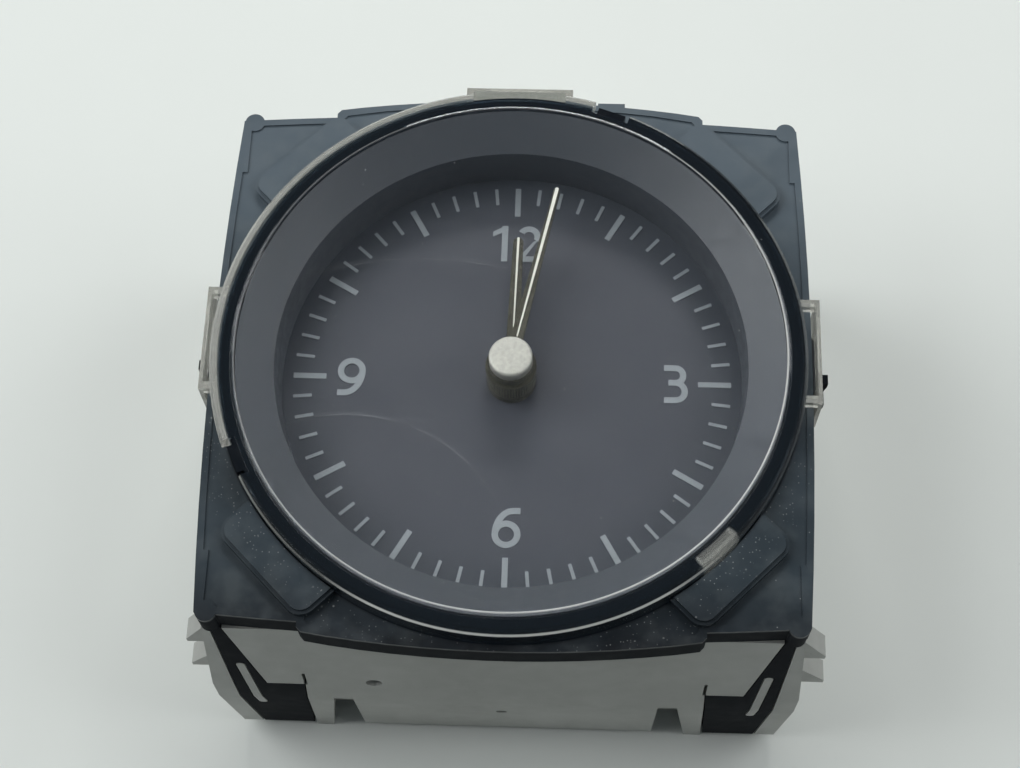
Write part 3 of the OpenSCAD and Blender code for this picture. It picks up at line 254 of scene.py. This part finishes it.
def light_world(sky):
    """Even sky light, and the pale backdrop low down where the camera or glass looks past the floor"""
    world = bpy.data.worlds.new("studio")
    world.use_nodes = True
    bpy.context.scene.world = world
    tree = NodeTree(world.node_tree)
    tree.nodes.clear()
    lit = tree.add("ShaderNodeBackground", {"Color": (*sky, 1)})
    seen = tree.add("ShaderNodeBackground", {"Color": (*BACKDROP, 1)})
    direction = tree.add("ShaderNodeTexCoord", output="Generated")
    low_down = tree.between(tree.axis_of(direction, "Z"), SKY_FOOT, BACKDROP_TOP)
    both = tree.add("ShaderNodeMixShader", {0: tree.times(tree.looked_at(), low_down), 1: lit, 2: seen})
    tree.plug(both, tree.nodes.new("ShaderNodeOutputWorld").inputs["Surface"])


def add_floor():
    """Plain pale floor with a faint mottle, which fades into the backdrop well away from the object"""
    mesh = bpy.data.meshes.new("floor")
    corners = [(x * FLOOR_HALF_W, y * FLOOR_HALF_W, 0) for x, y in ((-1, -1), (1, -1), (1, 1), (-1, 1))]
    mesh.from_pydata(corners, [], [(0, 1, 2, 3)])
    floor = bpy.data.objects.new("floor", mesh)
    bpy.context.scene.collection.objects.link(floor)
    skin = Surface("floor", roughness=0.7)
    skin.set("Base Color", skin.mix(skin.noise(22, detail=4), (0.75, 0.775, 0.745), (0.775, 0.805, 0.775)))
    skin.bump(skin.noise(0.8), 0.01, 0.2)
    far = skin.times(skin.between(skin.radius(), *FLOOR_FADE), skin.looked_at())
    glow = skin.add("ShaderNodeEmission", {"Color": (*BACKDROP, 1)})
    faded = skin.add("ShaderNodeMixShader", {0: far, 1: skin.shader.outputs[0], 2: glow})
    skin.plug(faded, skin.nodes["Material Output"].inputs["Surface"])
    mesh.materials.append(skin.material)


# Finishes of the front


def frame_dust(skin):
    """Share of dust: dense and fine beside the lower side of the lens, and lone specks all over"""
    by_lens = skin.between(skin.radius(), LENS_R + 5, LENS_R + 1.5)
    low_side = skin.between(skin.along("Y"), 4, -8)
    patches = skin.between(skin.noise(5, detail=3), 0.3, 0.5)
    grit = skin.together(skin.specks(0.36, 0.17, 0.4), skin.specks(1.1, 0.3, 0.3))
    return skin.most(skin.times(grit, by_lens, low_side, patches), skin.specks(1.3, 0.18, 0.16))


def black_frame():
    """Satin black moulding: bluish bloom, partly a painted sheen that grows toward 12 o'clock, painted shade
    at the 6 o'clock edge, dust and pale worn edges on its plate, glossy under the lens
    """
    skin = Surface("black_frame", ior=1.3)
    open_air = skin.between(skin.radius(), LENS_R, LENS_R + 0.3)
    plate = skin.times(skin.between(skin.along("Z"), PLATE_TOP - 0.5, PLATE_TOP - 0.1), open_air)
    top = skin.times(skin.between(skin.tilt(), 0.6, 0.9), plate)
    patches = skin.between(skin.noise(9, detail=4), 0.35, 0.65, -0.15, 0.15)
    # Painted sheen: the plate's bluish bloom grows paler toward 12 o'clock in place of the window's
    # reflection; the noise patches make the bloom uneven.
    bloom_and_painted_sheen = skin.together(skin.between(skin.along("Y"), -6, 24), patches)
    # Painted shade: the plate's base tone darkens toward its 6 o'clock edge.
    painted_low_shade_tone = skin.mix(skin.between(skin.along("Y"), -26, -34), (0.028, 0.039, 0.048), (0.008, 0.01, 0.013))
    tone = skin.mix(plate, (0.005, 0.007, 0.01), skin.mix(bloom_and_painted_sheen, painted_low_shade_tone, (0.09, 0.115, 0.137)))
    film = skin.between(skin.noise(3.5, detail=6), 0.45, 0.7, 0, 0.12)
    tone = skin.mix(skin.times(film, top), tone, (0.2, 0.22, 0.22))
    tone = skin.mix(skin.times(frame_dust(skin), top, 0.6), tone, (0.32, 0.33, 0.33))
    sloping = skin.near(skin.tilt(), 0.65, 0.3, 0.2)
    wear_and_glints = skin.times(sloping, plate, skin.between(skin.noise(4), 0.4, 0.6, 0.2, 0.8))
    skin.set("Base Color", skin.mix(wear_and_glints, tone, (0.16, 0.175, 0.18)))
    satin = skin.between(skin.noise(2.2, detail=5), 0.3, 0.7, -0.07, 0.08)
    matt = skin.between(plate, 0, 1, 0.97, 0.38)
    skin.set("Roughness", skin.math("ADD", satin, skin.between(open_air, 0, 1, 0.2, matt)))
    skin.bump(skin.noise(0.28, detail=2), 0.01, 0.35)
    return skin.material


def lens_edge(skin):
    """1 on the outer edge of the lens's rim"""
    outside = skin.between(skin.radius(), LENS_R - 0.3, LENS_R - 0.2)
    return skin.times(outside, skin.between(skin.along("Z"), RIM_EDGE_Z - 0.05, RIM_EDGE_Z + 0.05))


def lens_frost(skin, edge):
    """Share of frosting: the wide part of the rim, the hook, the clips, and the edge toward 10 o'clock"""
    beside_band = skin.between(skin.radius(), LENS_R - 0.55, LENS_R - 0.4)
    wide_rim = skin.times(beside_band, skin.between(skin.turned_to(312), 0.37, 0.39))
    hook_block = skin.between(skin.distance_from(HOOK_PLACE), 2.9, 2.6)
    hook = skin.times(hook_block, skin.between(skin.radius(), LENS_R - 1.8, LENS_R - 1.6, 0, 0.8))
    pale_edge = skin.times(edge, skin.between(skin.turned_to(300), -0.3, 0.3, 0.4, 1))
    clip_sides = skin.between(skin.radius(), LENS_R + 0.05, LENS_R + 0.1)
    clip_bars = skin.between(skin.along("Z"), CLIP_BAR_TOP + 0.1, CLIP_BAR_TOP - 0.1)
    return skin.most(wide_rim, hook, pale_edge, clip_sides, clip_bars)


def lens_glints(skin, edge):
    """Painted highlights: bright lines on the outer edge toward 6 o'clock, and on the step inside the rim,
    where the rim glints
    """
    low_edge = skin.times(edge, skin.between(skin.turned_to(176), 0.74, 0.88, 0.1, 0.85))
    step = skin.near(skin.radius(), RIM_STEP_R, 0.14, 0.07)
    on_top = skin.between(skin.along("Z"), LENS_TOP - 0.3, LENS_TOP - 0.2)
    toward_hook = skin.between(skin.turned_to(135), -0.7, 0.9, 0.12, 0.7)
    return skin.most(low_edge, skin.times(step, on_top, toward_hook))


def lens_hairlines(skin):
    """Two long fine scratches over the left half of the dial"""
    arcs = skin.together(skin.arc_line((-17.8, -28.1), 19.4, 0.1), skin.arc_line((-9.9, -26.9), 38.1, 0.1))
    fade_out = skin.between(skin.along("X"), 1, -4)
    return skin.times(arcs, skin.between(skin.along("X"), -25.5, -22), fade_out)


def clear_lens():
    """Clear polished plastic with hairlines and specks: dark round its rim, frosted on edge and clips, with
    painted highlights on its edge and rim step
    """
    clear = (0.97, 0.98, 0.985)
    skin = Surface("clear_lens", transmission_weight=1.0, ior=1.49)
    edge = lens_edge(skin)
    frosted = lens_frost(skin, edge)
    wear_and_glints = lens_glints(skin, edge)
    rim = skin.between(skin.radius(), RIM_STEP_R + 0.18, RIM_STEP_R + 0.48)
    specks = skin.together(skin.specks(2.6, 0.2, 0.22), skin.specks(0.9, 0.14, 0.12))
    frost = skin.mix(skin.noise(1.2, detail=4), (0.5, 0.5, 0.46), (0.68, 0.68, 0.64))
    tone = skin.mix(skin.most(frosted, specks), skin.mix(rim, clear, (0.1, 0.135, 0.17)), frost)
    # Painted highlights: the glinting lines on the edge and the rim step are painted near white and let less
    # light through.
    skin.set("Base Color", skin.mix(wear_and_glints, tone, (0.85, 0.85, 0.8)))
    fine_marks = skin.together(skin.times(lens_hairlines(skin), 0.07), skin.times(specks, 0.4))
    marks = skin.most(fine_marks, skin.times(rim, 0.045), skin.times(frosted, 0.3), wear_and_glints)
    skin.set("Transmission Weight", skin.math("SUBTRACT", 1.0, marks))
    polish = skin.between(skin.noise(7, detail=5), 0.4, 0.75, 0.02, 0.06)
    skin.set("Roughness", skin.math("ADD", polish, skin.times(frosted, 0.14)))
    return skin.material


def mask_grey():
    """Satin grey moulding, with painted shade toward 12 and 6 o'clock"""
    skin = Surface("mask_grey")
    tone = skin.mix(skin.noise(6, detail=4), (0.049, 0.055, 0.064), (0.06, 0.066, 0.078))
    # Painted shade: the ring is painted darker toward 12 and 6 o'clock than at 3 and 9.
    shade_toward_12_and_6 = skin.between(skin.math("ABSOLUTE", skin.along("Y")), 8, 28, 0, 0.55)
    skin.set("Base Color", skin.mix(shade_toward_12_and_6, tone, (0.028, 0.034, 0.042)))
    skin.set("Roughness", skin.between(skin.noise(1.5), 0.3, 0.7, 0.38, 0.52))
    skin.bump(skin.noise(0.18), 0.006, 0.35)
    return skin.material


def dial_grey():
    """Matt printed film with a fine tooth, with painted bluish shade round its outside"""
    skin = Surface("dial_grey")
    tone = skin.mix(skin.noise(0.5, detail=2), (0.026, 0.03, 0.04), (0.031, 0.035, 0.047))
    # Painted shade: the dial darkens and turns bluer toward the mask ring, standing in for the ring's
    # shadow.
    outside = skin.between(skin.radius(), 20.5, 25, 0, 0.4)
    skin.set("Base Color", skin.mix(outside, tone, (0.012, 0.02, 0.029)))
    skin.set("Roughness", skin.between(skin.noise(8), 0.3, 0.7, 0.58, 0.68))
    skin.bump(skin.noise(0.12), 0.004, 0.3)
    return skin.material


def dial_print():
    """Screen-printed ink, slightly uneven"""
    skin = Surface("dial_print", roughness=0.6)
    skin.set("Base Color", skin.mix(skin.noise(0.6), (0.17, 0.19, 0.205), (0.21, 0.23, 0.245)))
    skin.bump(skin.noise(0.1), 0.003, 0.3)
    return skin.material


def hand_smoke():
    """Smoky translucent plastic"""
    skin = Surface("hand_smoke", transmission_weight=0.7, ior=1.5)
    skin.set("Base Color", skin.mix(skin.noise(2), (0.125, 0.12, 0.09), (0.17, 0.165, 0.125)))
    skin.set("Roughness", skin.between(skin.noise(1), 0.3, 0.7, 0.14, 0.26))
    return skin.material


# Finishes of the housing and of what it holds


def pale_housing():
    """Off-white moulding, with painted shade above mid-height, grey handling film and a few dark specks"""
    skin = Surface("pale_housing")
    patches = skin.between(skin.noise(12, detail=5), 0.35, 0.7)
    tone = skin.mix(patches, (0.4, 0.405, 0.38), (0.46, 0.465, 0.44))
    # Painted shade: the walls are painted darker above mid-height, under the frame's skirt.
    tone = skin.mix(skin.between(skin.along("Z"), 10, 22, 0, 0.42), tone, (0.22, 0.225, 0.215))
    film = skin.between(skin.noise(4, detail=6, stretch=(1, 1, 2.5)), 0.55, 0.8, 0, 0.2)
    tone = skin.mix(film, tone, (0.22, 0.22, 0.205))
    skin.set("Base Color", skin.mix(skin.specks(3.2, 0.22, 0.12), tone, (0.12, 0.11, 0.1)))
    skin.set("Roughness", skin.between(skin.noise(2.5, detail=5), 0.3, 0.7, 0.42, 0.58))
    skin.bump(skin.noise(0.35), 0.012, 0.3)
    return skin.material


def shades(color, spread):
    """Darker and paler neighbour of a colour"""
    return [tuple(min(1, c * (1 + side * spread)) for c in color) for side in (-1, 1)]


def moulded(name, color, roughness, spread=0.08):
    """Plain moulded plastic: slow tone changes, fine grain and uneven gloss"""
    skin = Surface(name)
    skin.set("Base Color", skin.mix(skin.between(skin.noise(5, detail=5), 0.3, 0.7), *shades(color, spread)))
    gloss = skin.noise(1.8, detail=4)
    skin.set("Roughness", skin.between(gloss, 0.3, 0.7, roughness - 0.06, roughness + 0.08))
    skin.bump(skin.noise(0.25), 0.008, 0.3)
    return skin.material


def metal(name, color, roughness, grain=0.4, stretch=(1, 1, 1), spread=0.08, metallic=1.0):
    """Metal with fine grain and slightly uneven polish"""
    skin = Surface(name, metallic=metallic)
    skin.set("Base Color", skin.mix(skin.noise(grain * 2, stretch=stretch), *shades(color, spread)))
    polish = skin.noise(grain, stretch=stretch)
    skin.set("Roughness", skin.between(polish, 0.3, 0.7, roughness * 0.8, roughness * 1.25))
    skin.bump(skin.noise(grain / 2, stretch=stretch), 0.005, 0.3)
    return skin.material


def copper_winding():
    """Enamelled wire, wound side by side along Y"""
    skin = Surface("copper_winding", roughness=0.3, metallic=0.8)
    bands = {"Vector": skin.object_place, "Scale": 1600.0, "Distortion": 0.3}
    wires = skin.add("ShaderNodeTexWave", bands, bands_direction="Y")
    skin.set("Base Color", skin.mix(wires, (0.32, 0.12, 0.045), (0.56, 0.24, 0.1)))
    skin.bump(wires, 0.05, 0.8)
    return skin.material


def board_green():
    """Coated circuit board with tracks showing through"""
    skin = Surface("board_green", roughness=0.3)
    tracks = skin.add("ShaderNodeTexBrick", {
        "Vector": skin.object_place, "Scale": 260.0, "Mortar Size": 0.012,
        "Color1": (0, 0, 0, 1), "Color2": (0, 0, 0, 1), "Mortar": (1, 1, 1, 1),
    })
    tone = skin.mix(skin.noise(3), (0.02, 0.13, 0.065), (0.035, 0.18, 0.09))
    skin.set("Base Color", skin.mix(tracks, tone, (0.06, 0.26, 0.13)))
    skin.bump(tracks, 0.03, 0.4)
    return skin.material


FINISHES = {
    "black_frame": black_frame,
    "clear_lens": clear_lens,
    "mask_grey": mask_grey,
    "dial_grey": dial_grey,
    "dial_print": dial_print,
    "diffuser": lambda: moulded("diffuser", (0.8, 0.81, 0.77), 0.4, 0.03),
    "pale_housing": pale_housing,
    "board_green": board_green,
    "steel": lambda: metal("steel", (0.56, 0.57, 0.58), 0.32, stretch=(1, 6, 1)),
    "led_body": lambda: moulded("led_body", (0.78, 0.76, 0.6), 0.25, 0.04),
    "chip_black": lambda: moulded("chip_black", (0.022, 0.022, 0.025), 0.55),
    "component_body": lambda: moulded("component_body", (0.16, 0.14, 0.12), 0.45),
    "connector_black": lambda: moulded("connector_black", (0.02, 0.02, 0.022), 0.42),
    "tinned_pins": lambda: metal("tinned_pins", (0.7, 0.69, 0.65), 0.25),
    "movement_dark": lambda: moulded("movement_dark", (0.035, 0.037, 0.045), 0.42),
    "movement_light": lambda: moulded("movement_light", (0.56, 0.57, 0.54), 0.45),
    "bobbin_plastic": lambda: moulded("bobbin_plastic", (0.66, 0.64, 0.54), 0.4),
    "copper_winding": copper_winding,
    "ferrite": lambda: moulded("ferrite", (0.045, 0.045, 0.05), 0.5, 0.15),
    "gear_plastic": lambda: moulded("gear_plastic", (0.7, 0.67, 0.56), 0.35),
    "wheel_brass": lambda: metal("wheel_brass", (0.7, 0.5, 0.2), 0.25),
    "hand_smoke": hand_smoke,
    "hand_line": lambda: metal("hand_line", (0.62, 0.62, 0.56), 0.35, grain=0.3, metallic=0.4),
    "cap_silver": lambda: metal("cap_silver", (0.43, 0.425, 0.385), 0.42, 0.22, spread=0.3, metallic=0.6),
}


# Pieces


def dress_nodes():
    """Every node gets the finish that its material slot names"""
    finishes = {slot: make() for slot, make in FINISHES.items()}
    for part in frame["record"]["subparts"]:
        mesh = frame["nodes"][part["node"]].data
        mesh.materials.clear()
        mesh.materials.append(finishes[part["material_slot"]])


def body_of(node):
    bodies = frame["record"]["behaviour"]["bodies"]
    return next(name for name, nodes in bodies.items() if node in nodes)


def whole_faces(node):
    """Copy of a node's mesh, with doubled corners joined and each flat face in one piece"""
    mesh = frame["nodes"][node].data.copy()
    form = bmesh.new()
    form.from_mesh(mesh)
    bmesh.ops.remove_doubles(form, verts=form.verts, dist=SAME_CORNER * MM)
    bmesh.ops.dissolve_limit(form, angle_limit=math.radians(FLAT_TURN), verts=form.verts, edges=form.edges)
    for face in form.faces:
        face.smooth = True
    form.to_mesh(mesh)
    form.free()
    if "custom_normal" in mesh.attributes:
        mesh.attributes.remove(mesh.attributes["custom_normal"])
    return mesh


def soften(node, width):
    """Stands a copy of a node in its place, with its sharp edges rounded by width in millimetres"""
    piece = bpy.data.objects.new(node + "_piece", whole_faces(node))
    bpy.context.scene.collection.objects.link(piece)
    bevel = piece.modifiers.new("edges", "BEVEL")
    bevel.width = width * MM
    bevel.segments = EDGE_STEPS
    bevel.limit_method = "ANGLE"
    bevel.angle_limit = math.radians(SHARP_TURN)
    even = piece.modifiers.new("shading", "WEIGHTED_NORMAL")
    even.weight = FACE_SIZE_WEIGHT
    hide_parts(node)
    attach(piece, body_of(node))
    return piece


bpy.context.scene.view_settings.view_transform = "Standard"
add_camera()
add_floor()
add_soft_light("window", 2, 41, size=(0.34, 0.09), power=2.0, color=(1.0, 1.0, 0.98))
add_soft_light("left", -80, 45, size=(0.6, 0.6), power=3.6, color=(0.98, 1.0, 1.0))
add_soft_light("right", 80, 45, size=(0.6, 0.6), power=2.3, color=(0.98, 1.0, 1.0))
light_world((0.073, 0.082, 0.09))

dress_nodes()
pieces = {node: soften(node, width) for node, width in EDGE_WIDTHS.items()}
for lens in (frame["nodes"]["lens"], pieces["lens"]):
    lens.visible_shadow = False
